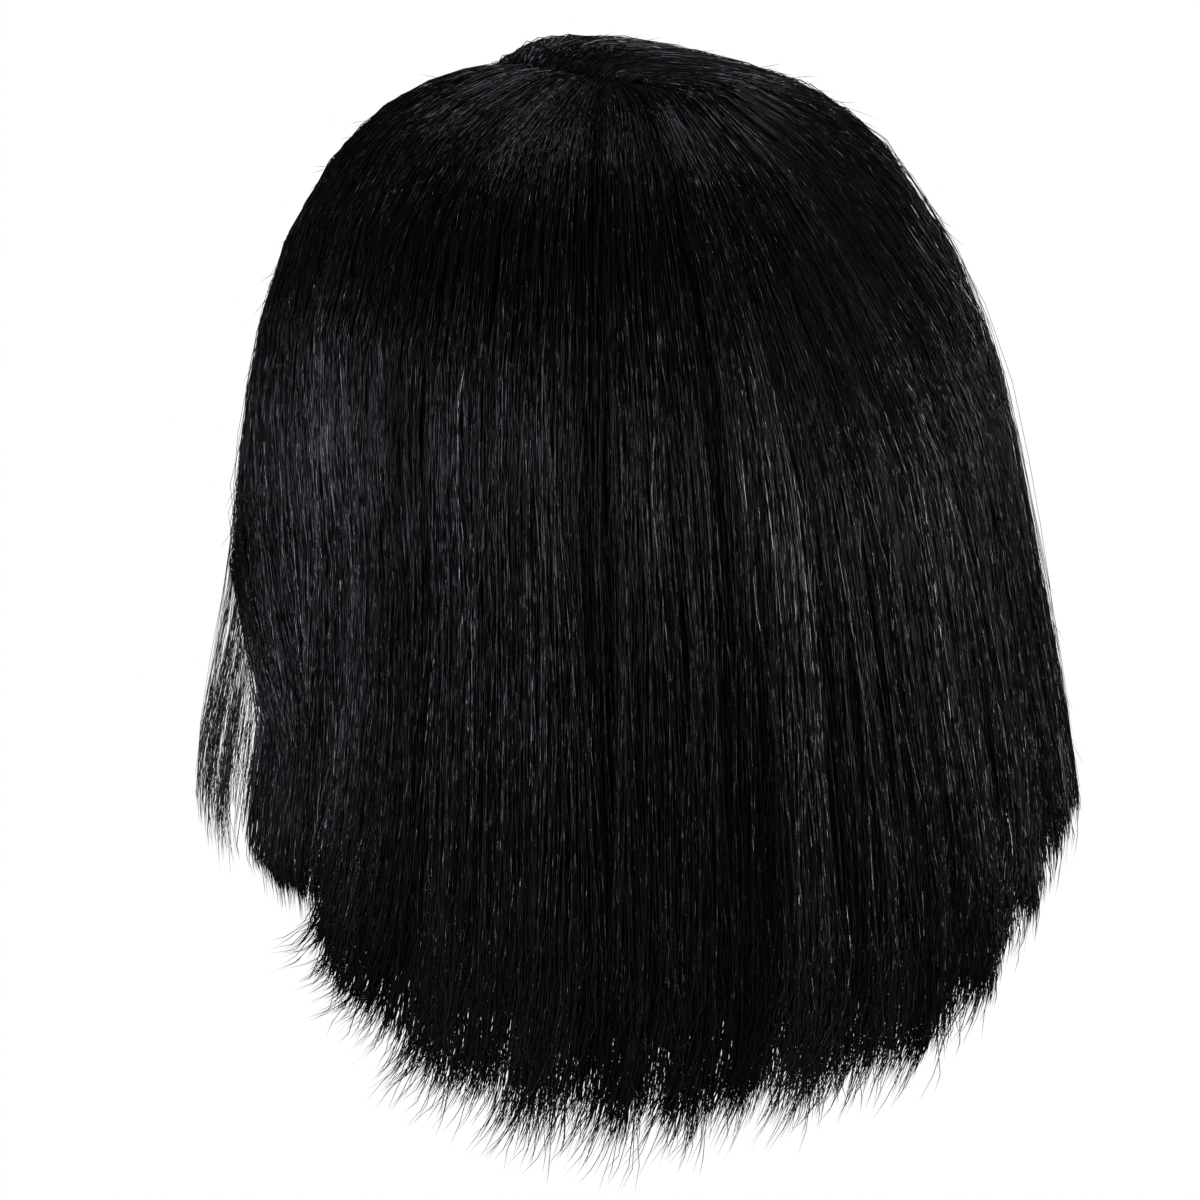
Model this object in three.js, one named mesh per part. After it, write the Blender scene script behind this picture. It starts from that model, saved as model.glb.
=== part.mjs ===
// Short bob wig with a middle part, in the shape it has when it is worn. Millimetres, +Z up.
// The face is towards -Y and the wearer's left is +X. The origin is the point inside the cap that
// rests on the crown of the head. Angles run round the head: 0 at the face, 90 at the wearer's
// left ear, 180 at the nape and 270 at the right ear.
import * as THREE from "three";

// The head that the cap fits: half breadth, half length, and the crown above the widest level
const HEAD = { side: 79, length: 98, rise: 93 };

// Cap: a thin net wall over the head
const CAP_WALL = 2;
const CAP_COLUMNS = 44;
const CAP_ROWS = 11;
// How far the cap's rim reaches down from the crown, in degrees of the head's curve, on the left half
const CAP_RIM = [
  { angle: 0, reach: 47 },
  { angle: 30, reach: 55 },
  { angle: 50, reach: 72 },
  { angle: 70, reach: 95 },
  { angle: 90, reach: 91 },
  { angle: 112, reach: 106 },
  { angle: 145, reach: 126 },
  { angle: 180, reach: 130 },
];

// Part: the strip between the two sides of the hair, from the crown to the front hairline
const CROWN_Y = 28;
const PART_WIDTH = 4.4;
const PART_THICKNESS = 1.2;
const PART_GAP = 0.4;
const PART_STEPS = 14;
const PART_HALF_OPENING = 2.7;
// The hair sinks towards the strip along the part, more gently on the left than on the right
const PART_SINK = 0.38;
const SINK_WIDTH = { left: 38, right: 12 };
const SINK_FADE = { start: CROWN_Y, full: 6 };

// Hair: horizontal sections of its outer form, from the crown down
const SECTIONS = [
  { z: 14.5, centre: 28, side: 0, front: 0, back: 0 },
  { z: 10.5, centre: 20, side: 30, front: 64, back: 15 },
  { z: 0, centre: 10, side: 56, front: 81, back: 46 },
  { z: -22, centre: 2, side: 77, front: 87, back: 77 },
  { z: -55, centre: 0, side: 91, front: 98, back: 104 },
  { z: -100, centre: 0, side: 99, front: 108, back: 120 },
  { z: -150, centre: 0, side: 109, front: 117, back: 133 },
  { z: -182, centre: 0, side: 114, front: 124, back: 140 },
  { z: -206, centre: 0, side: 113, front: 125, back: 139 },
  { z: -230, centre: 0, side: 108, front: 120, back: 131 },
];
const CROWN_RADIUS = 3;
const HAIR_ROWS = 17;
const HAIR_GAP = 2.4;
const MASS_GAP = 0.5;
const HEM_THICKNESS = 9;

// Face opening: half its angle at each level, from the front end of the part down to the hem
const FACE_OPENING = [
  { z: -20, angle: 0 },
  { z: -30, angle: 20 },
  { z: -55, angle: 33 },
  { z: -100, angle: 40 },
  { z: -150, angle: 43 },
  { z: -230, angle: 45 },
];
const EDGE_SHARE = 0.3;
const EDGE_THINNING = 0.55;
const EDGE_START = -25;
const EDGE_FULL = -70;

// Locks: ridges down each mass of hair, each with its own depth and its own tip
const COLUMNS_PER_LOCK = 4;
const LOCK_RELIEF = 3.2;
const LOCK_TIP = 13;
const LOCK_START = -10;
const LOCK_FULL = -150;
// Deep folds between the masses
const FOLDS = [
  { angle: 100, width: 7, depth: 2.5 },
  { angle: 160, width: 10, depth: 6 },
  { angle: 200, width: 9, depth: 4 },
  { angle: 260, width: 7, depth: 2.5 },
];

// The masses of hair round the head, each with the height of its hem
const MASSES = [
  {
    name: "front_lock_left",
    from: 0,
    to: 100,
    locks: 6,
    hem: [
      { angle: 45, z: -194 },
      { angle: 75, z: -185 },
      { angle: 100, z: -180 },
    ],
  },
  {
    name: "hair_left",
    from: 100,
    to: 160,
    locks: 6,
    hem: [
      { angle: 100, z: -206 },
      { angle: 120, z: -222 },
      { angle: 140, z: -224 },
      { angle: 160, z: -216 },
    ],
  },
  {
    name: "hair_back",
    from: 160,
    to: 200,
    locks: 4,
    hem: [
      { angle: 160, z: -216 },
      { angle: 180, z: -207 },
      { angle: 200, z: -184 },
    ],
  },
  {
    name: "hair_right",
    from: 200,
    to: 260,
    locks: 6,
    hem: [
      { angle: 200, z: -184 },
      { angle: 212, z: -179 },
      { angle: 230, z: -187 },
      { angle: 260, z: -190 },
    ],
  },
  {
    name: "front_lock_right",
    from: 260,
    to: 360,
    locks: 6,
    hem: [
      { angle: 260, z: -186 },
      { angle: 285, z: -184 },
      { angle: 315, z: -188 },
    ],
  },
];

const radians = THREE.MathUtils.degToRad;
const lerp = THREE.MathUtils.lerp;
const smoothstep = THREE.MathUtils.smoothstep;

// A column of a table at x, on a smooth curve through its rows
function tableAt(table, key, column, x) {
  const last = table.length - 1;
  const turned = table[last][key] < table[0][key];
  const after = table.findIndex((row) => (turned ? row[key] < x : row[key] > x));
  if (after === 0) return table[0][column];
  if (after < 0) return table[last][column];
  const slope = (i, j) => (table[j][column] - table[i][column]) / (table[j][key] - table[i][key]);
  const [low, high] = [table[after - 1], table[after]];
  const step = high[key] - low[key];
  const f = (x - low[key]) / step;
  const entry = step * slope(Math.max(after - 2, 0), after);
  const exit = step * slope(after - 1, Math.min(after + 1, last));
  const rise = high[column] - low[column];
  const [square, cube] = [3 * rise - 2 * entry - exit, entry + exit - 2 * rise];
  return low[column] + entry * f + square * f * f + cube * f * f * f;
}

// A fixed number from 0 to 1 that differs from lock to lock
function vary(index) {
  const turned = Math.sin(index * 12.9898 + 4.1414) * 43758.5453;
  return turned - Math.floor(turned);
}

// A point over the head, at a clearance from it. reach is in degrees of curve down from the crown.
function headPoint(angle, reach, clearance) {
  const [turn, fall] = [radians(angle), radians(reach)];
  return new THREE.Vector3(
    (HEAD.side + clearance) * Math.sin(fall) * Math.sin(turn),
    -(HEAD.length + clearance) * Math.sin(fall) * Math.cos(turn),
    -HEAD.rise + (HEAD.rise + clearance) * Math.cos(fall),
  );
}

// Catmull-Rom through one column of the section table. The row above the crown is mirrored.
function sectionColumn(column, t) {
  const last = SECTIONS.length - 1;
  const index = Math.min(Math.floor(t), last - 1);
  const mirrored = column === "z" || column === "centre" ? 1 : -1;
  const row = (i) => (i < 0 ? mirrored * SECTIONS[1][column] : SECTIONS[Math.min(i, last)][column]);
  const [a, b, c, d] = [-1, 0, 1, 2].map((step) => row(index + step));
  const f = t - index;
  const bend = (2 * a - 5 * b + 4 * c - d) * f * f + (3 * b - a - 3 * c + d) * f * f * f;
  return 0.5 * (2 * b + (c - a) * f + bend);
}

// Where the section table reaches a height, by halving
function sectionAtHeight(z) {
  let [low, high] = [0, SECTIONS.length - 1];
  for (let i = 0; i < 30; i++) {
    const middle = (low + high) / 2;
    if (sectionColumn("z", middle) > z) low = middle;
    else high = middle;
  }
  return low;
}

// A point of the hair's plain outer form, with no locks
function formPoint(t, angle) {
  const turn = radians(angle);
  const [across, along] = [Math.sin(turn), Math.cos(turn)];
  const reach = sectionColumn(along > 0 ? "front" : "back", t);
  const side = sectionColumn("side", t);
  const radius = 1 / Math.hypot(across / side, along / reach);
  return new THREE.Vector3(
    radius * across,
    sectionColumn("centre", t) - radius * along,
    sectionColumn("z", t),
  );
}

// The hair's inner side: over the cap above the widest level, and hanging free below it
function innerPoint(outer, hem) {
  const clearance = CAP_WALL + HAIR_GAP;
  const level = -HEAD.rise;
  const [side, length, rise] = [HEAD.side, HEAD.length, HEAD.rise].map((size) => size + clearance);
  const up = Math.max(outer.z - level, 0);
  const share = 1 / Math.hypot(outer.x / side, outer.y / length, up / rise);
  if (outer.z >= level) return new THREE.Vector3(outer.x * share, outer.y * share, level + up * share);
  const radius = Math.hypot(outer.x, outer.y);
  const hanging = smoothstep(level - outer.z, 0, level - hem);
  const thickness = lerp(radius * (1 - share), HEM_THICKNESS, hanging);
  const kept = 1 - thickness / radius;
  return new THREE.Vector3(outer.x * kept, outer.y * kept, outer.z);
}

// How deep the folds between the masses are at an angle
function foldDepth(angle) {
  return FOLDS.reduce(
    (deepest, fold) =>
      Math.max(deepest, fold.depth * (1 - smoothstep(Math.abs(angle - fold.angle), 0, fold.width))),
    0,
  );
}

// How much of its thickness the hair loses beside the part
function partSink(point) {
  const width = point.x > 0 ? SINK_WIDTH.left : SINK_WIDTH.right;
  const along = 1 - smoothstep(point.y, SINK_FADE.full, SINK_FADE.start);
  return PART_SINK * along * Math.exp(-((Math.abs(point.x) / width) ** 2));
}

// A solid from a list of coordinates and a list of corner numbers
function geometryOf(positions, faces) {
  const geometry = new THREE.BufferGeometry();
  geometry.setAttribute("position", new THREE.Float32BufferAttribute(positions, 3));
  geometry.setIndex(faces);
  geometry.computeVertexNormals();
  return geometry;
}

// A closed wall between two grids of points, given as rows of columns that run round the head by angle
function wallGeometry(outer, inner) {
  const [rows, columns] = [outer.length, outer[0].length];
  const positions = [...outer.flat(), ...inner.flat()].flatMap((point) => point.toArray());
  const faces = [];
  const out = (row, column) => row * columns + column;
  const back = (row, column) => rows * columns + out(row, column);
  const quad = (a, b, c, d) => faces.push(a, b, c, a, c, d);
  for (let row = 0; row + 1 < rows; row++)
    for (let column = 0; column + 1 < columns; column++) {
      const next = column + 1;
      quad(out(row, column), out(row + 1, column), out(row + 1, next), out(row, next));
      quad(back(row, column), back(row, next), back(row + 1, next), back(row + 1, column));
    }
  for (let row = 0; row + 1 < rows; row++) {
    const end = columns - 1;
    quad(out(row, 0), back(row, 0), back(row + 1, 0), out(row + 1, 0));
    quad(out(row, end), out(row + 1, end), back(row + 1, end), back(row, end));
  }
  for (let column = 0; column + 1 < columns; column++) {
    const [next, foot] = [column + 1, rows - 1];
    quad(out(0, column), out(0, next), back(0, next), back(0, column));
    quad(out(foot, column), back(foot, column), back(foot, next), out(foot, next));
  }
  return geometryOf(positions, faces);
}

// The cap: a dome that is open below, with a high front, a tab before each ear and a low nape
function capGeometry() {
  const positions = [];
  const faces = [];
  const columns = CAP_COLUMNS;
  const ring = (skin, row, column) => 2 + (skin * CAP_ROWS + row) * columns + (column % columns);
  for (const clearance of [CAP_WALL, 0]) positions.push(...headPoint(0, 0, clearance).toArray());
  for (const clearance of [CAP_WALL, 0])
    for (let row = 1; row <= CAP_ROWS; row++)
      for (let column = 0; column < columns; column++) {
        const angle = (360 * column) / columns;
        const rim = tableAt(CAP_RIM, "angle", "reach", Math.min(angle, 360 - angle));
        positions.push(...headPoint(angle, (rim * row) / CAP_ROWS, clearance).toArray());
      }
  const quad = (a, b, c, d) => faces.push(a, b, c, a, c, d);
  const foot = CAP_ROWS - 1;
  for (let column = 0; column < columns; column++) {
    const next = column + 1;
    faces.push(0, ring(0, 0, column), ring(0, 0, next));
    faces.push(1, ring(1, 0, next), ring(1, 0, column));
    for (let row = 0; row < foot; row++) {
      const below = row + 1;
      quad(ring(0, row, column), ring(0, below, column), ring(0, below, next), ring(0, row, next));
      quad(ring(1, row, column), ring(1, row, next), ring(1, below, next), ring(1, below, column));
    }
    quad(ring(0, foot, column), ring(1, foot, column), ring(1, foot, next), ring(0, foot, next));
  }
  return geometryOf(positions, faces);
}

// The part: a strip that follows the cap from the crown to the front hairline
function partGeometry() {
  const crownReach = -THREE.MathUtils.radToDeg(Math.asin((CROWN_Y - CROWN_RADIUS) / HEAD.length));
  const frontReach = CAP_RIM[0].reach - 2;
  const rowOf = (clearance) => (side) =>
    Array.from({ length: PART_STEPS + 1 }, (_, step) => {
      const point = headPoint(0, lerp(crownReach, frontReach, step / PART_STEPS), CAP_WALL + clearance);
      point.x = (side * PART_WIDTH) / 2;
      return point;
    });
  const across = [1, -1];
  return wallGeometry(across.map(rowOf(PART_GAP + PART_THICKNESS)), across.map(rowOf(PART_GAP)));
}

// The height of a lock's tip: each lock has its own length and is shorter at its edges
function tipHeight(hem, crest, chance) {
  const notch = LOCK_TIP * (1 - crest) * (0.4 + 0.6 * chance);
  const spread = LOCK_TIP * 0.5 * (chance - 0.5) * crest;
  return hem + notch + spread;
}

// How far the outer side of the hair comes in, as a share of its thickness: beside the part, at the
// edge beside the face, and between the locks
function inwards(form, angle, thickness, toEdge, crest, chance) {
  const edge = EDGE_THINNING * (1 - smoothstep(toEdge, 0, EDGE_SHARE));
  const edgeDepth = edge * smoothstep(EDGE_START - form.z, 0, EDGE_START - EDGE_FULL);
  const hanging = smoothstep(LOCK_START - form.z, 0, LOCK_START - LOCK_FULL);
  const relief = LOCK_RELIEF * (1 - crest) * (0.5 + 0.5 * chance) + foldDepth(angle);
  return Math.min(Math.max(partSink(form), edgeDepth) + (hanging * relief) / thickness, 0.85);
}

// One mass of hair: a wall over the cap with a ridge for each lock
function massGeometry(mass, firstLock) {
  const columns = mass.locks * COLUMNS_PER_LOCK;
  const startsAtPart = mass.from === 0;
  const endsAtPart = mass.to === 360;
  const startInset = startsAtPart ? PART_HALF_OPENING : MASS_GAP / 2;
  const endInset = endsAtPart ? PART_HALF_OPENING : MASS_GAP / 2;
  const angleOf = (share, z) => {
    const opening = tableAt(FACE_OPENING, "z", "angle", z);
    return lerp(startsAtPart ? opening : mass.from, endsAtPart ? 360 - opening : mass.to, share);
  };
  const top = CROWN_RADIUS / SECTIONS[1].side;
  const lowest = SECTIONS[SECTIONS.length - 1].z;
  const [outer, inner] = [[], []];
  for (let row = 0; row <= HAIR_ROWS; row++) {
    const [outerRow, innerRow] = [[], []];
    for (let column = 0; column <= columns; column++) {
      const share = column / columns;
      const place = (column % COLUMNS_PER_LOCK) / COLUMNS_PER_LOCK;
      const crest = Math.sin(Math.PI * place);
      const chance = vary(firstLock + Math.floor(column / COLUMNS_PER_LOCK));
      const tip = tipHeight(tableAt(mass.hem, "angle", "z", angleOf(share, lowest)), crest, chance);
      const t = lerp(top, sectionAtHeight(tip), row / HAIR_ROWS);
      const angle = angleOf(share, sectionColumn("z", t));
      const form = formPoint(t, angle);
      const sideways = new THREE.Vector3(Math.cos(radians(angle)), Math.sin(radians(angle)), 0);
      form.addScaledVector(sideways, lerp(startInset, -endInset, share));
      const under = innerPoint(form, tip);
      const toEdge = startsAtPart ? share : endsAtPart ? 1 - share : 1;
      const come = inwards(form, angle, form.distanceTo(under), toEdge, crest, chance);
      outerRow.push(form.clone().lerp(under, come));
      innerRow.push(under);
    }
    outer.push(outerRow);
    inner.push(innerRow);
  }
  return wallGeometry(outer, inner);
}

const hairMaterial = new THREE.MeshStandardMaterial({ color: 0x0b0b0d, roughness: 0.42, metalness: 0 });
const capMaterial = new THREE.MeshStandardMaterial({ color: 0x151517, roughness: 0.9, metalness: 0 });
const partMaterial = new THREE.MeshStandardMaterial({ color: 0x100f10, roughness: 0.85, metalness: 0 });

function named(name, geometry, material) {
  const mesh = new THREE.Mesh(geometry, material);
  mesh.name = name;
  return mesh;
}

const wig = new THREE.Group();
wig.add(named("cap", capGeometry(), capMaterial));
wig.add(named("part_strip", partGeometry(), partMaterial));
let firstLock = 0;
for (const mass of MASSES) {
  wig.add(named(mass.name, massGeometry(mass, firstLock), hairMaterial));
  firstLock += mass.locks;
}

export default wig;
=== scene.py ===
"""Short bob wig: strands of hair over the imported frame, with the cap and the part in woven materials.

Metres, +Z up, face towards -Y, wearer's left towards +X. Angles run round the head: 0 at the face,
90 at the left ear, 180 at the nape. A stream is a path that the hair takes from the part to the hem.
"""
import math

import bpy
import numpy as np
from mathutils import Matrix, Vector
from mathutils.bvhtree import BVHTree


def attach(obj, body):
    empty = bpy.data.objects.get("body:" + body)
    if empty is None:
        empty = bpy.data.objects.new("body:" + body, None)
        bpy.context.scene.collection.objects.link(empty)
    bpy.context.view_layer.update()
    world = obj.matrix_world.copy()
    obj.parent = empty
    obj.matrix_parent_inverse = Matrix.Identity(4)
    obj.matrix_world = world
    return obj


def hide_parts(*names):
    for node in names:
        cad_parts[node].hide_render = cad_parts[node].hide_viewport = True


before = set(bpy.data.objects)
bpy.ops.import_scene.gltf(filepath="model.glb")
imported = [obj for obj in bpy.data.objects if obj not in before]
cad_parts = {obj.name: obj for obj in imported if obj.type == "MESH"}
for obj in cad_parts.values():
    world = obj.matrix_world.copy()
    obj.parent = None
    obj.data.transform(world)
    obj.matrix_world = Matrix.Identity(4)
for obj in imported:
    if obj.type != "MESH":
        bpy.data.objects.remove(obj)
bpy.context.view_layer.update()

MM = 0.001
rng = np.random.default_rng(7)

# Head: the point that the hair's form is measured from, and the level where it starts to hang
CENTRE_Z = -0.093
LOWEST_Z = -0.236
CURTAIN = CENTRE_Z - LOWEST_Z
MAP_ANGLES = 360
DOME_LEVELS = 48
CURTAIN_LEVELS = 60
FAR = 0.4
NEAREST = 0.072
# A level of the maps is whole when this share of it was hit, and the hem lies below this level
WHOLE_SHARE = 0.45
HEM_BELOW = 1.2
BLUR_PASSES = 2
# Runs of degrees along which the hem is evened out, and over how many to each side
HEM_RUNS = [(46, 100), (100, 260), (260, 314)]
HEM_SPAN = 7

# Streams on one side of the head, from the face to the nape. root: degrees forward of the crown along
# the part. ear: the angle round the head at ear level. hem: the angle at the tips.
STREAMS = {
    "share": [-0.1, 0.0, 0.2, 0.4, 0.55, 0.7, 0.85, 1.0, 1.15],
    "root": [50.0, 46.0, 34.0, 19.0, 10.0, 4.0, -1.0, -5.0, -5.0],
    "ear": [32.0, 38.0, 66.0, 92.0, 115.0, 138.0, 160.0, 180.0, 200.0],
    "hem": [41.0, 45.0, 71.0, 95.0, 117.0, 139.0, 160.0, 180.0, 200.0],
}
PART_HALF = 0.006
# How far the roots lie below the form beside the part, on the left (1) and the right (-1), over what length
# of the stream, and between which shares this begins at the front end of the part
PART_STEP = {1: 1.0 * MM, -1: 4.0 * MM}
PART_STEP_RUN = 0.03
PART_STEP_FADE = (-0.02, 0.14)
# How far the streams bow outwards beside the face, and backwards behind it, on the way over the dome
FACE_SWING = 0.5
SWING_END = 0.4
BACK_SWEEP = {1: 0.0, -1: 0.1}
BACK_SWEEP_FADE = 2.5
# The dome's share of a stream, how far a stream may run on past its hem, and how wide all the streams are
DOME_SHARE = 0.6
MOST_HANG = 1.2
STREAM_WIDTH = 300 * MM
# How far the tips turn round the head, in degrees by the stream's angle, how late, and how this varies
LEAN = {
    "angle": [45, 102, 106, 118, 140, 180, 230, 315],
    "tip": [2, 0, -13, -9, -5, -4, -2, -2],
}
LEAN_BEND = 6
LEAN_SPREAD = (0.4, 1.2)

# The masses of hair: their node, the angles of its hem, and where their streams run, as side and angles
MASSES = {
    "front_lock_left": dict(hem=(45, 100), fields=[(1, 45, 104)]),
    "hair_left": dict(hem=(100, 160), fields=[(1, 104, 160)]),
    "hair_back": dict(hem=(160, 200), fields=[(1, 160, 180), (-1, 160, 180)]),
    "hair_right": dict(hem=(200, 260), fields=[(-1, 100, 160)]),
    "front_lock_right": dict(hem=(260, 315), fields=[(-1, 45, 100)]),
}
# Strands in a mass, as a share of the usual number
EXTRA = {"front_lock_left": 0.92, "hair_back": 1.3, "front_lock_right": 0.9}
# On the left the hair before the ear is swept back, to these angles at the hem, on the first part of the way
# down from ear level. It is not in bundles there. Only a veil of fine strands hangs straight down before it,
# thinner towards the face.
SWEPT = {"share": [0.0, 0.41], "hem": [92.0, 96.5]}
SWEPT_BY = 0.62
SWEPT_BEND = 0.75
SWEPT_SPREAD = 0.09
UNBUNDLED = (0.39, 0.45)
VEIL_END = 0.4
VEIL_THINNING = 0.48
# The streams of neighbouring masses overlap by this share
OVERLAP = 0.006

# Kinds of strand: how many for each degree of a mass, points on each, where they start and end along
# their stream (a wisp's end counts from its start), how deep they lie in the hair, how many millimetres
# they sink at the root and over what length of the stream they come up, their waves as turns and
# millimetres, their radius in millimetres, and the shares of their length that are pointed at the root
# and at the tip. Some have a bend, which brings their points closer together at the root, a lift off the
# surface, or a list of the only masses that they are in.
CALM = [(0.6, 3.0), (1.7, 1.5), (3.5, 0.4)]
KINDS = {
    "root": dict(each=11, points=8, start=(0.0, 0.01), end=(0.12, 0.3), depth=(0.0, 0.15),
                 sink=0.0, rise=0.02, wave=CALM, radius=0.13, ends=(0.01, 0.1), bend=1.5),
    "long": dict(each=14, points=13, start=(0.0, 0.02), end=(0.955, 1.0), depth=(0.0, 0.3),
                 sink=0.3, rise=0.02, wave=CALM, radius=0.13, ends=(0.006, 0.015), bend=1.4),
    "middle": dict(each=16, points=9, start=(0.02, 0.45), end=(0.95, 1.0), depth=(0.0, 0.5),
                   sink=3.0, rise=0.08, wave=CALM, radius=0.13, ends=(0.01, 0.02)),
    "short": dict(each=11, points=7, start=(0.45, 0.68), end=(0.93, 1.0), depth=(0.05, 0.6),
                  sink=4.0, rise=0.1, wave=CALM, radius=0.13, ends=(0.02, 0.04)),
    "tip": dict(each=18, points=6, start=(0.8, 0.9), end=(0.95, 1.03), depth=(0.0, 0.9),
                sink=1.0, rise=0.05, wave=[(2.0, 1.6), (7.0, 0.9)], radius=0.1, ends=(0.05, 0.12)),
    "inner": dict(each=3, points=6, start=(0.5, 0.66), end=(0.92, 0.99), depth=(0.75, 1.0),
                  sink=0.0, rise=0.1, wave=CALM, radius=0.15, ends=(0.02, 0.05)),
    "stray": dict(each=1.2, points=14, start=(0.0, 0.4), end=(0.9, 1.02), depth=(-0.03, 0.1),
                  sink=1.0, rise=0.05, wave=[(0.5, 6.0), (1.2, 2.5)], radius=0.07, ends=(0.02, 0.05)),
    "wisp": dict(each=6, points=4, start=(0.03, 0.95), end=(0.015, 0.05), depth=(-0.02, 0.05),
                 sink=1.5, rise=0.02, wave=[(0.6, 10.0)], radius=0.06, ends=(0.15, 0.3), lift=0.28),
    "veil": dict(each=6, points=12, start=(0.2, 0.4), end=(0.9, 1.02), depth=(0.0, 0.6),
                 sink=1.0, rise=0.05, wave=[(0.8, 4.0), (2.5, 1.6), (7.0, 0.5)], radius=0.065,
                 ends=(0.02, 0.03), masses=("front_lock_left",)),
    "curl": dict(each=6, points=8, start=(0.8, 0.9), end=(0.93, 1.0), depth=(0.0, 0.8),
                 sink=1.0, rise=0.05, wave=[(3.0, 3.0), (9.0, 2.0)], radius=0.065, ends=(0.05, 0.1),
                 masses=("front_lock_left",)),
}
# How much the waves differ in speed, how the strands lie nearer to the outside than to the inside, and how
# their depth changes on the way as turns and shares of the hair's thickness
WAVE_SPEED = (0.7, 1.3)
OUTWARD = 1.6
DEPTH_DRIFT = [(0.8, 0.03), (2.2, 0.02)]
STRAY_DRIFT = [(0.5, 0.06), (1.1, 0.03)]
STRAY_RISE = 0.3
# The strands start to wave by here along the stream, and to flare by this much from here to the tips
WAVE_RISE = 0.25
FLARE_START = 0.85
TIP_FLARE = 3.5 * MM
# Undercoat: the levels where it starts and nominally ends, the shares of its streams beside the face, how
# far it stays above the hem and how ragged that is, the depths of its two skins, and its columns and rows
UNDERCOAT = dict(top=0.4, bottom=1.7, face={1: 0.41, -1: 0.06}, lift=17 * MM, ragged=5 * MM,
                 depths=(0.55, 0.8), columns=300, rows=30)
FACE_EDGE_END, FACE_EDGE_STEPS = 1.2, 200
# Bundles: tufts that close up near the tips, and fine clumps along most of the length. Each bundle has its
# own width, tip, depth and sheen; the sheen differs at random by bundle, painted light and shade in streaks.
BUNDLE_JITTER = 0.4
BUNDLE_DEPTH = 0.35
CLUMP_DEPTH_PULL = 0.8
TUFT = dict(width=11 * MM, pull=0.4, tip=5.0 * MM, starts=0.86, sheen=(0.6, 1.2))
CLUMP = dict(width=3.6 * MM, pull=0.45, tip=2.5 * MM, starts=0.3, sheen=(0.5, 1.3))
# Sheen of single strands: most are dull, and this share are bright
DULL, BRIGHT = (0.5, 1.0), (1.5, 2.5)
BRIGHT_SHARE = 0.15
# Roots on the right of the part are brighter where they stand up beside it, by the share of their stream: a
# painted highlight, their gloss raised where the lamps barely reach
ROOT_PAINTED_HIGHLIGHT = {"share": [0.4, 0.7], "sheen": [1.9, 1.0]}
# Painted shade at the folds: bands where the strands' gloss is lowered to paint the shade of the locks beside
# them, as angle, half width in degrees, and shade
PAINTED_FOLD_SHADE = [
    (116, 2, 0.5), (142, 2.5, 0.6), (158, 4, 0.6), (177, 2, 0.5),
    (196, 3, 0.5), (218, 2.5, 0.5), (252, 3, 0.5),
]
# How far the tips reach past the form's hem, in millimetres by the stream's angle
TIP_REACH = {
    "angle": [45, 60, 99, 104, 125, 142, 158, 170, 188, 205, 225, 315],
    "mm": [6, 5, 3, 9, 5, 5, 3, 0, -2, 4, 6, 6],
}
# The level that no tip hangs below
LOWEST_TIP = 1.97


def smoothstep(low, high, x):
    """A smooth rise from 0 at low to 1 at high."""
    f = np.clip((x - low) / (high - low), 0.0, 1.0)
    return f * f * (3.0 - 2.0 * f)


# The hair's form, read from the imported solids

def hair_tree():
    """A ray-casting tree of the five masses of hair."""
    points, faces = [], []
    for name in MASSES:
        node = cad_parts[name]
        base = len(points)
        points += [node.matrix_world @ v.co for v in node.data.vertices]
        faces += [[base + i for i in p.vertices] for p in node.data.polygons]
    return BVHTree.FromPolygons(points, faces)


def ray_at(angle, level):
    """Where the ray for a map cell starts, and its direction: over the dome, or level below it."""
    fall = math.pi / 2 * min(level, 1.0)
    away = Vector((math.sin(angle) * math.sin(fall), -math.cos(angle) * math.sin(fall), math.cos(fall)))
    return Vector((0.0, 0.0, CENTRE_Z - max(level - 1.0, 0.0) * CURTAIN)), away


def read_maps():
    """Distances of the hair's outer and inner sides by level and angle, and the hem's level by angle."""
    tree = hair_tree()
    outer = np.full((len(LEVELS), MAP_ANGLES), np.nan)
    inner = outer.copy()
    for row, level in enumerate(LEVELS):
        for column, angle in enumerate(ANGLES):
            base, away = ray_at(angle, level)
            hit = tree.ray_cast(base + away * FAR, -away, FAR - NEAREST)
            if hit[0] is None:
                continue
            outer[row, column] = FAR - hit[3]
            back = tree.ray_cast(base + away * NEAREST, away, FAR)
            inner[row, column] = NEAREST + back[3]
    levels = np.where(np.isnan(outer), -1.0, np.array(LEVELS)[:, None])
    return blur(fill(outer)), blur(fill(inner)), hem_of(levels.max(axis=0))


def fill(grid):
    """Closes the gaps of a map: along a level that is nearly whole, or else from the nearest such level."""
    turns = np.arange(MAP_ANGLES)
    known = ~np.isnan(grid)
    whole = np.flatnonzero(known.sum(axis=1) > MAP_ANGLES * WHOLE_SHARE)
    filled = grid.copy()
    for row in whole:
        filled[row] = np.interp(turns, turns[known[row]], grid[row][known[row]], period=MAP_ANGLES)
    for row in set(range(len(grid))) - set(whole):
        nearest = filled[whole[np.abs(whole - row).argmin()]]
        filled[row] = np.where(known[row], grid[row], nearest)
    return filled


def blur(grid):
    """Softens the facets of a map."""
    for _ in range(BLUR_PASSES):
        grid = (np.roll(grid, 1, 1) + 2 * grid + np.roll(grid, -1, 1)) / 4
        padded = np.vstack([grid[:1], grid, grid[-1:]])
        grid = (padded[:-2] + 2 * grid + padded[2:]) / 4
    return grid


def hem_of(lowest):
    """The lowest level of the hair by angle, evened out along each run but not across the steps between."""
    known = lowest > HEM_BELOW
    turns = np.arange(MAP_ANGLES)
    hem = np.interp(turns, turns[known], lowest[known], period=MAP_ANGLES)
    for low, high in HEM_RUNS:
        run = np.pad(hem[low:high], HEM_SPAN, mode="edge")
        hem[low:high] = np.convolve(run, np.ones(2 * HEM_SPAN + 1) / (2 * HEM_SPAN + 1), "valid")
    return hem


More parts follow.
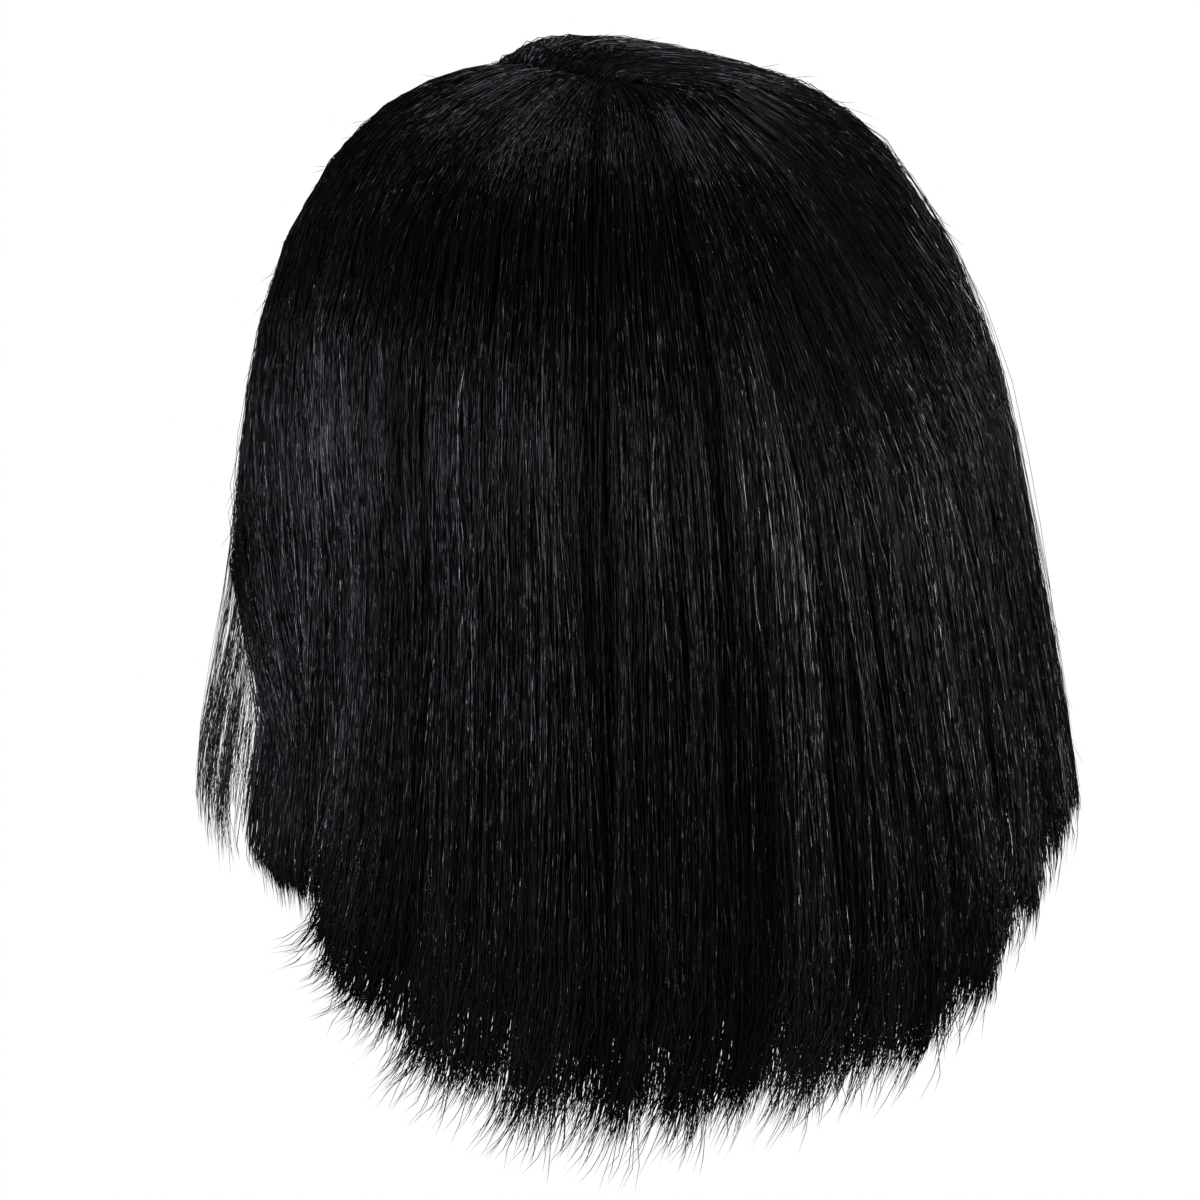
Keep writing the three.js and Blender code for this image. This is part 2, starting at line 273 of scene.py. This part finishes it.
LEVELS = list(np.linspace(0.0, 1.0, DOME_LEVELS, endpoint=False))
LEVELS += list(np.linspace(1.0, 2.0, CURTAIN_LEVELS))
ANGLES = np.radians(np.arange(MAP_ANGLES) * 360.0 / MAP_ANGLES)
OUTER, INNER, HEM = read_maps()


def look_up(grid, angle, level):
    """A map's value between its cells, with angle in radians."""
    column = np.mod(angle / (2 * np.pi) * MAP_ANGLES, MAP_ANGLES)
    row = np.interp(level, LEVELS, np.arange(len(LEVELS)))
    c0, r0 = np.floor(column).astype(int), np.minimum(np.floor(row).astype(int), len(LEVELS) - 2)
    c, r = column - c0, row - r0
    c0, c1 = c0 % MAP_ANGLES, (c0 + 1) % MAP_ANGLES
    top = grid[r0, c0] * (1 - c) + grid[r0, c1] * c
    low = grid[r0 + 1, c0] * (1 - c) + grid[r0 + 1, c1] * c
    return top * (1 - r) + low * r


def hem_level(angle):
    """The hem's level at an angle in radians."""
    return np.interp(np.mod(np.degrees(angle), 360), np.arange(MAP_ANGLES), HEM, period=360)


def in_hair(angle, level, depth, sink=0.0):
    """Points in the hair: depth is 0 on its outer and 1 on its inner side, and sink is in metres."""
    far, near = look_up(OUTER, angle, level), look_up(INNER, angle, level)
    reach = far + (near - far) * depth - sink
    fall = np.pi / 2 * np.minimum(level, 1.0)
    across = reach * np.sin(fall)
    z = CENTRE_Z + reach * np.cos(fall) - np.maximum(level - 1.0, 0.0) * CURTAIN
    return np.stack([across * np.sin(angle), -across * np.cos(angle), z], axis=-1)


# The way the hair runs

def stream(column, share):
    """A value of the stream at a share of the way from the face to the nape."""
    return np.interp(share, STREAMS["share"], STREAMS[column])


def unit(v):
    return v / np.linalg.norm(v, axis=-1, keepdims=True)


def lean_at(angle):
    """How far the tips lean round the head at a stream's angle, in radians."""
    return np.radians(np.interp(np.mod(np.degrees(angle), 360), LEAN["angle"], LEAN["tip"]))


def hem_angle(share, swept):
    """The angle of a stream's tips in degrees: its own, or moved towards the line behind the ear."""
    own = stream("hem", share)
    return own + swept * np.maximum(np.interp(share, SWEPT["share"], SWEPT["hem"]) - own, 0.0)


def tip_level(side, shares, hem, swept):
    """The level of the hem where each stream's tips come to lie, within the hem of its own mass."""
    angle = side * np.radians(hem_angle(shares, swept))
    low, high = hem
    turn = np.mod(np.degrees(angle + lean_at(angle)), 360)
    return hem_level(np.radians(np.clip(turn, low + 1, high - 1)))


def tip_reach(side, shares):
    """How far the tips of each stream reach past the hem, in metres."""
    turn = np.mod(side * stream("hem", shares), 360)
    return np.interp(turn, TIP_REACH["angle"], TIP_REACH["mm"]) * MM


def along_stream(side, share, u, tip, leaning=1.0, swept=0.0):
    """Angle and level at u along a stream: over the dome from the part to ear level, then down."""
    root = np.radians(stream("root", share))
    ear = np.radians(stream("ear", share))
    hem = np.radians(hem_angle(share, swept))
    zero = np.zeros_like(root)
    start = np.stack([zero + side * PART_HALF, -np.sin(root), np.cos(root)], axis=-1)
    end = np.stack([side * np.sin(ear), -np.cos(ear), zero], axis=-1)
    swing = FACE_SWING * np.clip(1.0 - share / SWING_END, 0.0, 1.0)
    sweep = BACK_SWEEP[side] * np.clip(share / SWING_END, 0.0, 1.0)
    sweep = sweep * np.clip(BACK_SWEEP_FADE - BACK_SWEEP_FADE * share, 0.0, 1.0)
    middle = unit(start + end + np.stack([side * swing, sweep, zero], axis=-1))
    w = np.clip(u / DOME_SHARE, 0.0, 1.0)[..., None]
    way = unit((1 - w) ** 2 * start + 2 * w * (1 - w) * middle + w * w * end)
    hang = np.clip((u - DOME_SHARE) / (1.0 - DOME_SHARE), 0.0, None)
    over = np.arctan2(way[..., 0], -way[..., 1])
    lean = leaning * lean_at(side * hem) * hang ** LEAN_BEND
    round_ear = smoothstep(0.0, SWEPT_BY, hang) ** SWEPT_BEND
    turned = np.where(swept > 0.0, round_ear, np.minimum(hang, MOST_HANG))
    below = side * (ear + (hem - ear) * turned) + lean
    fall = np.arccos(np.clip(way[..., 2], -1, 1)) / (np.pi / 2)
    on_dome = u < DOME_SHARE
    return np.where(on_dome, over, below), np.where(on_dome, fall, 1 + hang * (tip - 1))


def waves(count, u, sizes):
    """Smooth random offsets along each strand, one sum of waves for each."""
    total = np.zeros((count, u.shape[-1]))
    for turns, size in sizes:
        phase = rng.uniform(0, 2 * np.pi, (count, 1))
        speed = turns * rng.uniform(*WAVE_SPEED, (count, 1))
        total += size * rng.normal(0, 1, (count, 1)) * np.sin(2 * np.pi * speed * u + phase)
    return total


def strand_ends(kind, count):
    """Where each strand starts and ends along its stream."""
    first = rng.uniform(*KINDS[kind]["start"], (count, 1))
    last = rng.uniform(*KINDS[kind]["end"], (count, 1))
    return first, (first + last if kind == "wisp" else last)


def swept_shares(kind, side, count):
    """How far each strand gives way to the sweep behind the ear."""
    if side < 0 or "masses" in KINDS[kind]:
        return np.zeros((count, 1))
    return 1.0 - np.abs(rng.normal(0, SWEPT_SPREAD, (count, 1)))


def bundles(shares, facts):
    """For each strand, the middle, tip, depth and sheen of the bundle of neighbours that it is in."""
    low, high = shares.min(), shares.max()
    count = max(int((high - low) * STREAM_WIDTH / facts["width"]), 2)
    edges = np.linspace(low, high + 1e-6, count + 1)
    edges[1:-1] += rng.uniform(-BUNDLE_JITTER, BUNDLE_JITTER, count - 1) * (high - low) / count
    mine = np.clip(np.searchsorted(edges, shares, side="right") - 1, 0, count - 1)
    middle = (edges[:-1] + edges[1:]) / 2
    tip = rng.normal(0, facts["tip"], count)
    depth = rng.uniform(0.0, BUNDLE_DEPTH, count)
    # Painted light and shade: a random sheen for each bundle, in streaks
    sheen = rng.uniform(*facts["sheen"], count)
    return dict(middle=middle[mine], tip=tip[mine], depth=depth[mine], sheen=sheen[mine])


def places(kind):
    """Shares of a strand's length where its points lie: its ends, and between them, closer at the root."""
    k = KINDS[kind]
    root, tip = k["ends"]
    between = np.linspace(0.0, 1.0, k["points"] - 2) ** k.get("bend", 1.0)
    return np.concatenate([[0.0], root + (1.0 - root - tip) * between, [1.0]])


def strand_gloss_and_painted_light(kind, side, shares, tuft, clump):
    """How bright each strand is: its own gloss at random, times painted shade in the folds and in bundle
    streaks, and a painted highlight on the roots right of the part.
    """
    count = len(shares)
    bright = rng.uniform(0, 1, count) < BRIGHT_SHARE
    own = np.where(bright, rng.uniform(*BRIGHT, count), rng.uniform(*DULL, count))
    # Painted shade: the gloss is lowered in bands at the folds, by the angle of each strand's hem
    turn = np.mod(side * stream("hem", shares), 360)
    for angle, width, shade in PAINTED_FOLD_SHADE:
        own = own * (1 - shade * np.exp(-((turn - angle) / width) ** 2))
    # Painted highlight on the roots that stand up right of the part
    if kind == "root" and side < 0:
        own = own * np.interp(shares, ROOT_PAINTED_HIGHLIGHT["share"], ROOT_PAINTED_HIGHLIGHT["sheen"])
    return own * tuft["sheen"] * clump["sheen"]


def gathered(bundle, facts, own, u):
    """How far the strands move over to the middle of their bundle on the way down."""
    return (bundle["middle"][:, None] - own) * facts["pull"] * smoothstep(facts["starts"], 1.0, u)


def strand_depth(kind, u, first, last, clump):
    """How deep the strands of one kind lie on their way, and how far they sink at the root in metres."""
    k = KINDS[kind]
    count = len(u)
    low, high = k["depth"]
    depth = low + (high - low) * rng.uniform(0, 1, (count, 1)) ** OUTWARD
    sink = k["sink"] * MM * (1 - smoothstep(0.0, k["rise"], u - first))
    if kind == "stray":
        return depth - np.abs(waves(count, u, STRAY_DRIFT)) * smoothstep(0.0, STRAY_RISE, u), sink
    if kind == "wisp":
        lift = k["lift"] * rng.uniform(0, 1, (count, 1)) ** 2
        return depth - lift * ((u - first) / (last - first)) ** 2, sink
    if kind not in ("inner", "tip"):
        pull = CLUMP_DEPTH_PULL * smoothstep(CLUMP["starts"], 1.0, u)
        depth = depth + (clump["depth"][:, None] - depth) * pull
    return depth + waves(count, u, DEPTH_DRIFT), sink


def strand_paths(kind, side, shares, hem, tuft, clump):
    """The points of the strands of one kind whose streams have these shares."""
    k = KINDS[kind]
    count = len(shares)
    first, last = strand_ends(kind, count)
    u = first + (last - first) * places(kind)[None, :]
    own = shares[:, None]
    loose = waves(count, u, k["wave"]) * MM * smoothstep(0.0, WAVE_RISE, u)
    loose = loose + rng.normal(0, TIP_FLARE, (count, 1)) * smoothstep(FLARE_START, 1.0, u) ** 2
    together = gathered(tuft, TUFT, own, u) + gathered(clump, CLUMP, own, u)
    bundled = smoothstep(*UNBUNDLED, own) if side > 0 else 1.0
    share = own + together * bundled + loose / STREAM_WIDTH
    depth, sink = strand_depth(kind, u, first, last, clump)
    step = PART_STEP[side] * smoothstep(*PART_STEP_FADE, own)
    sink = sink + step * (1 - smoothstep(0.0, PART_STEP_RUN, u))
    reach = tip_reach(side, shares) + tuft["tip"] + clump["tip"]
    swept = swept_shares(kind, side, count)
    tip = np.minimum(tip_level(side, shares, hem, swept[:, 0]) + reach / CURTAIN, LOWEST_TIP)
    leaning = rng.uniform(*LEAN_SPREAD, (count, 1))
    angle, level = along_stream(side, share, u, tip[:, None], leaning, swept)
    return in_hair(angle, level, depth, sink)


# Meshes

def tube_arrays(paths, radius, sheen):
    """Vertices, faces and attributes of three-sided tubes with pointed ends along the paths."""
    count, points, _ = paths.shape
    ahead = unit(np.gradient(paths, axis=1))
    out = paths - np.array([0.0, 0.0, CENTRE_Z])
    across = unit(np.cross(ahead, out))
    out = np.cross(across, ahead)
    roll = rng.uniform(0, 2 * np.pi, (count, 1, 1, 1))
    ring = np.arange(3)[None, None, :, None] * 2 * np.pi / 3 + roll
    middle = slice(1, points - 1)
    rings = paths[:, middle, None, :] + radius * (
        np.cos(ring) * across[:, middle, None, :] + np.sin(ring) * out[:, middle, None, :]
    )
    body = rings.reshape(count, -1, 3)
    verts = np.concatenate([paths[:, :1], body, paths[:, -1:]], axis=1)
    per = verts.shape[1]
    steps = np.linalg.norm(np.diff(paths, axis=1), axis=-1)
    run = np.concatenate([np.zeros((count, 1)), np.cumsum(steps, axis=1)], axis=1)
    spread = np.concatenate([[0], np.repeat(np.arange(1, points - 1), 3), [points - 1]])
    quads, tris = [], []
    for r in range(points - 3):
        a = 1 + 3 * r
        quads += [[a + i, a + (i + 1) % 3, a + 3 + (i + 1) % 3, a + 3 + i] for i in range(3)]
    for i in range(3):
        tris.append([0, 1 + (i + 1) % 3, 1 + i])
        tris.append([per - 1, per - 4 + i, per - 4 + (i + 1) % 3])
    base = (np.arange(count) * per)[:, None, None]
    return dict(
        verts=verts.reshape(-1, 3),
        quads=(np.array(quads)[None] + base).reshape(-1, 4),
        tris=(np.array(tris)[None] + base).reshape(-1, 3),
        run=run[:, spread].reshape(-1),
        flow=ahead[:, spread].reshape(-1, 3),
        chance=np.repeat(rng.uniform(0, 1, count), per),
        sheen=np.repeat(sheen, per),
    )


def join_arrays(parts):
    """Several sets of tubes as one."""
    base, joined = 0, {key: [] for key in parts[0]}
    for part in parts:
        for key, values in part.items():
            joined[key].append(values + base if key in ("quads", "tris") else values)
        base += len(part["verts"])
    return {key: np.concatenate(values) for key, values in joined.items()}


def mesh_object(name, arrays):
    """A smooth mesh from arrays of vertices and faces, with the other arrays as attributes."""
    quads, tris = arrays["quads"], arrays["tris"]
    mesh = bpy.data.meshes.new(name)
    mesh.vertices.add(len(arrays["verts"]))
    mesh.vertices.foreach_set("co", arrays["verts"].astype(np.float32).ravel())
    mesh.loops.add(quads.size + tris.size)
    corners = np.concatenate([quads.ravel(), tris.ravel()])
    mesh.loops.foreach_set("vertex_index", corners.astype(np.int32))
    mesh.polygons.add(len(quads) + len(tris))
    starts = np.concatenate([np.arange(len(quads)) * 4, quads.size + np.arange(len(tris)) * 3])
    mesh.polygons.foreach_set("loop_start", starts.astype(np.int32))
    mesh.update(calc_edges=True)
    mesh.validate()
    mesh.shade_smooth()
    for key in ("run", "chance", "sheen"):
        if key in arrays:
            layer = mesh.attributes.new(key, "FLOAT", "POINT")
            layer.data.foreach_set("value", arrays[key].astype(np.float32))
    if "flow" in arrays:
        flow = mesh.attributes.new("flow", "FLOAT_VECTOR", "POINT")
        flow.data.foreach_set("vector", arrays["flow"].astype(np.float32).ravel())
    piece = bpy.data.objects.new(name, mesh)
    bpy.context.scene.collection.objects.link(piece)
    return piece


def strand_count(name, facts, degrees):
    """How many strands of a kind grow over some degrees of a mass."""
    if name not in facts.get("masses", MASSES):
        return 0
    return int(facts["each"] * degrees * EXTRA.get(name, 1.0))


def mass_strands(name, hem, fields):
    """All the strands of one mass of hair, as one piece that stands for its solid."""
    parts = []
    for side, low, high in fields:
        lowest, highest = np.interp([low, high], STREAMS["hem"], STREAMS["share"])
        counts = [strand_count(name, k, high - low) for k in KINDS.values()]
        shares = rng.uniform(lowest - OVERLAP, highest + OVERLAP, sum(counts))
        veil = np.repeat(["masses" in k for k in KINDS.values()], counts)
        shares[veil] = VEIL_END * rng.uniform(0, 1, veil.sum()) ** VEIL_THINNING
        tuft, clump = bundles(shares, TUFT), bundles(shares, CLUMP)
        after = np.cumsum(counts)
        for kind, count, end in zip(KINDS, counts, after):
            if count == 0:
                continue
            own = slice(end - count, end)
            tufts, clumps = ({key: values[own] for key, values in b.items()} for b in (tuft, clump))
            paths = strand_paths(kind, side, shares[own], hem, tufts, clumps)
            sheen = strand_gloss_and_painted_light(kind, side, shares[own], tufts, clumps)
            parts.append(tube_arrays(paths, KINDS[kind]["radius"] * MM, sheen))
    return mesh_object("strands_" + name, join_arrays(parts))


def face_edge(level, share):
    """The angle at each level of the stream with this share."""
    u = np.linspace(0, FACE_EDGE_END, FACE_EDGE_STEPS)
    angle, reached = along_stream(1, np.full_like(u, share), u, np.full_like(u, 2.0))
    return np.interp(level, reached, angle)


def undercoat():
    """The dark inside of the hair: a wall in the middle of its thickness, well above the tips, standing for
    the hidden hair with its shade painted on.
    """
    columns, rows = UNDERCOAT["columns"], UNDERCOAT["rows"]
    turn = np.linspace(0, 1, columns)[None, :]
    share = np.linspace(0, 1, rows)[:, None]
    nominal = UNDERCOAT["top"] + (UNDERCOAT["bottom"] - UNDERCOAT["top"]) * share
    left, right = (face_edge(nominal, UNDERCOAT["face"][side]) for side in (1, -1))
    angle = left + (2 * np.pi - left - right) * turn
    ragged = np.abs(rng.normal(0, UNDERCOAT["ragged"], columns))[None, :]
    end = hem_level(angle) - (UNDERCOAT["lift"] + ragged) / CURTAIN
    level = UNDERCOAT["top"] + (end - UNDERCOAT["top"]) * share
    skins = [in_hair(angle, level, depth) for depth in UNDERCOAT["depths"]]
    verts = np.concatenate([skin.reshape(-1, 3) for skin in skins])
    r, c = np.meshgrid(np.arange(rows - 1), np.arange(columns - 1), indexing="ij")
    a = (r * columns + c).ravel()
    front = np.stack([a, a + columns, a + columns + 1, a + 1], axis=1)
    n = rows * columns
    back = front[:, ::-1] + n
    rim = np.concatenate([
        np.arange(columns), np.arange(1, rows) * columns + columns - 1,
        (rows - 1) * columns + np.arange(columns - 2, -1, -1), np.arange(rows - 2, 0, -1) * columns,
    ])
    after = np.roll(rim, -1)
    edges = np.stack([rim, after, after + n, rim + n], axis=1)
    quads = np.concatenate([front, back, edges])
    return mesh_object("hair_undercoat", dict(verts=verts, quads=quads, tris=np.zeros((0, 3), int)))


# Materials

class Nodes:
    """A material's nodes, made and linked in one call each."""

    def __init__(self, name):
        self.material = bpy.data.materials.new(name)
        self.material.use_nodes = True
        self.tree = self.material.node_tree
        self.shader = self.tree.nodes["Principled BSDF"]

    def add(self, kind, settings=None, **inputs):
        node = self.tree.nodes.new(kind)
        for key, value in (settings or {}).items():
            setattr(node, key, value)
        for key, value in inputs.items():
            self.feed(node, key, value)
        return node

    def feed(self, node, key, value):
        """Links or sets an input, by its name or, as i0 or i1, by its number."""
        numbered = key.startswith("i") and key[1:].isdigit()
        socket = node.inputs[int(key[1:])] if numbered else node.inputs[key]
        if isinstance(value, bpy.types.NodeSocket):
            self.tree.links.new(value, socket)
        else:
            socket.default_value = value

    def math(self, operation, a, b=0.0):
        return self.add("ShaderNodeMath", {"operation": operation}, i0=a, i1=b).outputs[0]

    def vector(self, operation, a, b, out="Vector"):
        return self.add("ShaderNodeVectorMath", {"operation": operation}, i0=a, i1=b).outputs[out]

    def attribute(self, name, out="Fac"):
        return self.add("ShaderNodeAttribute", {"attribute_name": name}).outputs[out]


# Hair: its two blacks, gloss and roughness, the crimp's turns along a metre of strand, how far apart single
# strands lie in its noise, and how far it tilts the normal at the root and from this many metres on
HAIR_DARK, HAIR_LIGHT = (0.0025, 0.0025, 0.0028, 1), (0.008, 0.0082, 0.0092, 1)
HAIR_GLOSS = 0.35
HAIR_ROUGHNESS = 0.28
CRIMP_TURNS = 240.0
CRIMP_APART = 900.0
CRIMP_ROOT, CRIMP_REST, CRIMP_RUN = 1.6, 1.08, 0.03
# Depth of the hair: fine upright lines in a matt black, darker than the strands: the hair's own black with
# the shade deep in the hair painted in
DEPTH_BLACK = (0.0022, 0.0022, 0.0025, 1)
DEPTH_LINES = (2200.0, 2200.0, 60.0)
# Nets: ground, thread, and cells in a metre, and where a thread starts and ends across a cell
CAP_NET = ((0.004, 0.004, 0.0045, 1), (0.012, 0.012, 0.013, 1), 420.0)
PART_LACE = ((0.003, 0.003, 0.003, 1), (0.009, 0.009, 0.009, 1), 700.0)
THREAD = (0.03, 0.16)


def hair_material():
    """Near-black fibre. Its crimp tilts the shading normal to and fro along each strand, in short glints."""
    n = Nodes("hair")
    run, chance = n.attribute("run"), n.attribute("chance")
    turns = n.math("MULTIPLY", run, CRIMP_TURNS)
    place = n.add("ShaderNodeCombineXYZ", X=turns, Y=n.math("MULTIPLY", chance, CRIMP_APART))
    crimp = n.add("ShaderNodeTexNoise", {"noise_dimensions": "2D"},
                  Vector=place.outputs[0], Scale=1.0, Detail=1.0)
    size = n.add("ShaderNodeMapRange", Value=run)
    size.inputs["From Max"].default_value = CRIMP_RUN
    size.inputs["To Min"].default_value = CRIMP_ROOT
    size.inputs["To Max"].default_value = CRIMP_REST
    swing = n.math("MULTIPLY", n.math("SUBTRACT", crimp.outputs["Fac"], 0.5), size.outputs["Result"])
    lean = n.add("ShaderNodeVectorMath", {"operation": "SCALE"},
                 i0=n.attribute("flow", "Vector"), Scale=swing)
    normal = n.add("ShaderNodeNewGeometry").outputs["Normal"]
    turned = n.add("ShaderNodeVectorMath", {"operation": "NORMALIZE"},
                   i0=n.vector("ADD", normal, lean.outputs["Vector"]))
    tint = n.add("ShaderNodeMix", {"data_type": "RGBA"}, Factor=chance)
    tint.inputs["A"].default_value = HAIR_DARK
    tint.inputs["B"].default_value = HAIR_LIGHT
    n.feed(n.shader, "Base Color", tint.outputs["Result"])
    n.feed(n.shader, "Normal", turned.outputs["Vector"])
    n.feed(n.shader, "Roughness", HAIR_ROUGHNESS)
    # The sheen attribute holds each strand's own gloss with the painted shade and painted highlight laid into
    # it
    n.feed(n.shader, "Specular IOR Level", n.math("MULTIPLY", n.attribute("sheen"), HAIR_GLOSS))
    return n.material


def undercoat_material():
    """The depth of the hair: matt black with fine upright lines, the hair's own black with painted shade."""
    n = Nodes("hair_depth")
    spot = n.add("ShaderNodeNewGeometry").outputs["Position"]
    fine = n.vector("MULTIPLY", spot, DEPTH_LINES)
    lines = n.add("ShaderNodeTexNoise", Vector=fine, Scale=1.0, Detail=2.0)
    bump = n.add("ShaderNodeBump", Strength=0.6, Distance=0.0006, Height=lines.outputs["Fac"])
    n.feed(n.shader, "Normal", bump.outputs["Normal"])
    n.feed(n.shader, "Base Color", DEPTH_BLACK)
    n.feed(n.shader, "Roughness", 0.75)
    n.feed(n.shader, "Specular IOR Level", 0.15)
    return n.material


def net_material(name, base, thread, scale):
    """Black net: a lattice of raised threads over a darker ground."""
    n = Nodes(name)
    spot = n.add("ShaderNodeNewGeometry").outputs["Position"]
    cells = n.add("ShaderNodeTexVoronoi", {"feature": "DISTANCE_TO_EDGE"},
                  Vector=spot, Scale=scale, Randomness=0.25)
    mesh = n.add("ShaderNodeMapRange", Value=cells.outputs["Distance"])
    mesh.inputs["From Min"].default_value = THREAD[0]
    mesh.inputs["From Max"].default_value = THREAD[1]
    mesh.inputs["To Min"].default_value = 1.0
    mesh.inputs["To Max"].default_value = 0.0
    colour = n.add("ShaderNodeMix", {"data_type": "RGBA"}, Factor=mesh.outputs["Result"])
    colour.inputs["A"].default_value = base
    colour.inputs["B"].default_value = thread
    bump = n.add("ShaderNodeBump", Strength=0.8, Distance=0.0005, Height=mesh.outputs["Result"])
    n.feed(n.shader, "Base Color", colour.outputs["Result"])
    n.feed(n.shader, "Normal", bump.outputs["Normal"])
    n.feed(n.shader, "Roughness", 0.85)
    n.feed(n.shader, "Specular IOR Level", 0.2)
    return n.material


# Stage

# Camera: the photo's view, what it aims at, and how far that lies from the middle of the picture
AZIMUTH, ELEVATION = 144.0, 25.0
DISTANCE = 1.0
FRAME_WIDTH = 0.316
SENSOR = 36.0
AIM = Vector((0.0, 0.005, -0.105))
AIM_RIGHT, AIM_UP = -0.0079, -0.0242
# Surround: the floor's level and size, the backdrop's radius, and the light from all round
FLOOR_Z = -1.1
FLOOR_SIZE = 30.0
BACKDROP_RADIUS = 14.0
WORLD_GLOW = 0.035
# Lights: name, azimuth, elevation, distance, size, watts, colour
COOL, NEUTRAL = (0.9, 0.86, 1.0), (1.0, 1.0, 1.0)
LIGHTS = [
    ("top", 295, 56, 1.2, 0.4, 4.7, COOL),
    ("low_left", 80, 6, 1.6, 0.5, 32, COOL),
    ("low_right", 215, 8, 1.6, 0.5, 26, NEUTRAL),
    ("low_face", 325, -8, 1.6, 0.5, 12, NEUTRAL),
    ("front", 128, 28, 1.6, 0.5, 4.5, COOL),
    ("floor_glow", 144, -42, 1.6, 1.0, 3.4, NEUTRAL),
]


def direction(azimuth, elevation):
    """The way towards an azimuth and elevation in degrees."""
    a, e = math.radians(azimuth), math.radians(elevation)
    return Vector((math.sin(a) * math.cos(e), -math.cos(a) * math.cos(e), math.sin(e)))


def camera():
    """The photo's view: from behind the wearer's left shoulder, a little above."""
    back = direction(AZIMUTH, ELEVATION)
    right = Vector((0, 0, 1)).cross(back).normalized()
    up = back.cross(right)
    eye = bpy.data.objects.new("camera", bpy.data.cameras.new("camera"))
    eye.data.sensor_width = SENSOR
    eye.data.lens = SENSOR * DISTANCE / FRAME_WIDTH
    eye.location = AIM + right * AIM_RIGHT + up * AIM_UP + back * DISTANCE
    eye.rotation_euler = back.to_track_quat("Z", "Y").to_euler()
    bpy.context.scene.collection.objects.link(eye)
    bpy.context.scene.camera = eye


def area_light(name, azimuth, elevation, distance, size, watts, colour):
    """A square softbox that points at the wig."""
    lamp = bpy.data.lights.new(name, "AREA")
    lamp.size = size
    lamp.energy = watts
    lamp.color = colour
    away = direction(azimuth, elevation)
    box = bpy.data.objects.new(name, lamp)
    box.location = AIM + away * distance
    box.rotation_euler = away.to_track_quat("Z", "Y").to_euler()
    box.visible_camera = False
    bpy.context.scene.collection.objects.link(box)


def white_stage(name, glow):
    """Makes the active object part of the stage: pale, and seen by the camera but not by the hair."""
    piece = bpy.context.object
    piece.name = name
    n = Nodes(name)
    n.feed(n.shader, "Base Color", (0, 0, 0, 1))
    n.feed(n.shader, "Specular IOR Level", 0.0)
    n.feed(n.shader, "Emission Color", (1, 1, 1, 1))
    n.feed(n.shader, "Emission Strength", glow)
    piece.data.materials.append(n.material)
    piece.visible_diffuse = False
    piece.visible_glossy = False
    piece.visible_shadow = False


def studio():
    """A pale floor well below the wig, a white surround and soft lights."""
    world = bpy.data.worlds.new("studio")
    world.use_nodes = True
    background = world.node_tree.nodes["Background"]
    background.inputs["Color"].default_value = (1, 1, 1, 1)
    background.inputs["Strength"].default_value = WORLD_GLOW
    bpy.context.scene.world = world
    bpy.context.scene.cycles.max_bounces = 0
    bpy.context.scene.cycles.debug_use_spatial_splits = True
    bpy.context.scene.view_settings.view_transform = "Standard"
    bpy.ops.mesh.primitive_plane_add(size=FLOOR_SIZE, location=(0, 0, FLOOR_Z))
    white_stage("floor", 1.0)
    bpy.ops.mesh.primitive_uv_sphere_add(segments=48, ring_count=24, radius=BACKDROP_RADIUS)
    white_stage("backdrop", 1.0)
    for light in LIGHTS:
        area_light(*light)


# Assembly

def dress():
    """Puts strands in place of the masses, adds the undercoat, and gives the cap and the strip their nets."""
    hair = hair_material()
    for name, mass in MASSES.items():
        piece = mass_strands(name, **mass)
        piece.data.materials.append(hair)
        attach(piece, "root")
        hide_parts(name)
    depth = undercoat()
    depth.data.materials.append(undercoat_material())
    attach(depth, "root")
    nets = {"cap": net_material("cap_net", *CAP_NET), "part_strip": net_material("part_lace", *PART_LACE)}
    for name, material in nets.items():
        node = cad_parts[name]
        node.data.materials.clear()
        node.data.materials.append(material)


camera()
studio()
dress()
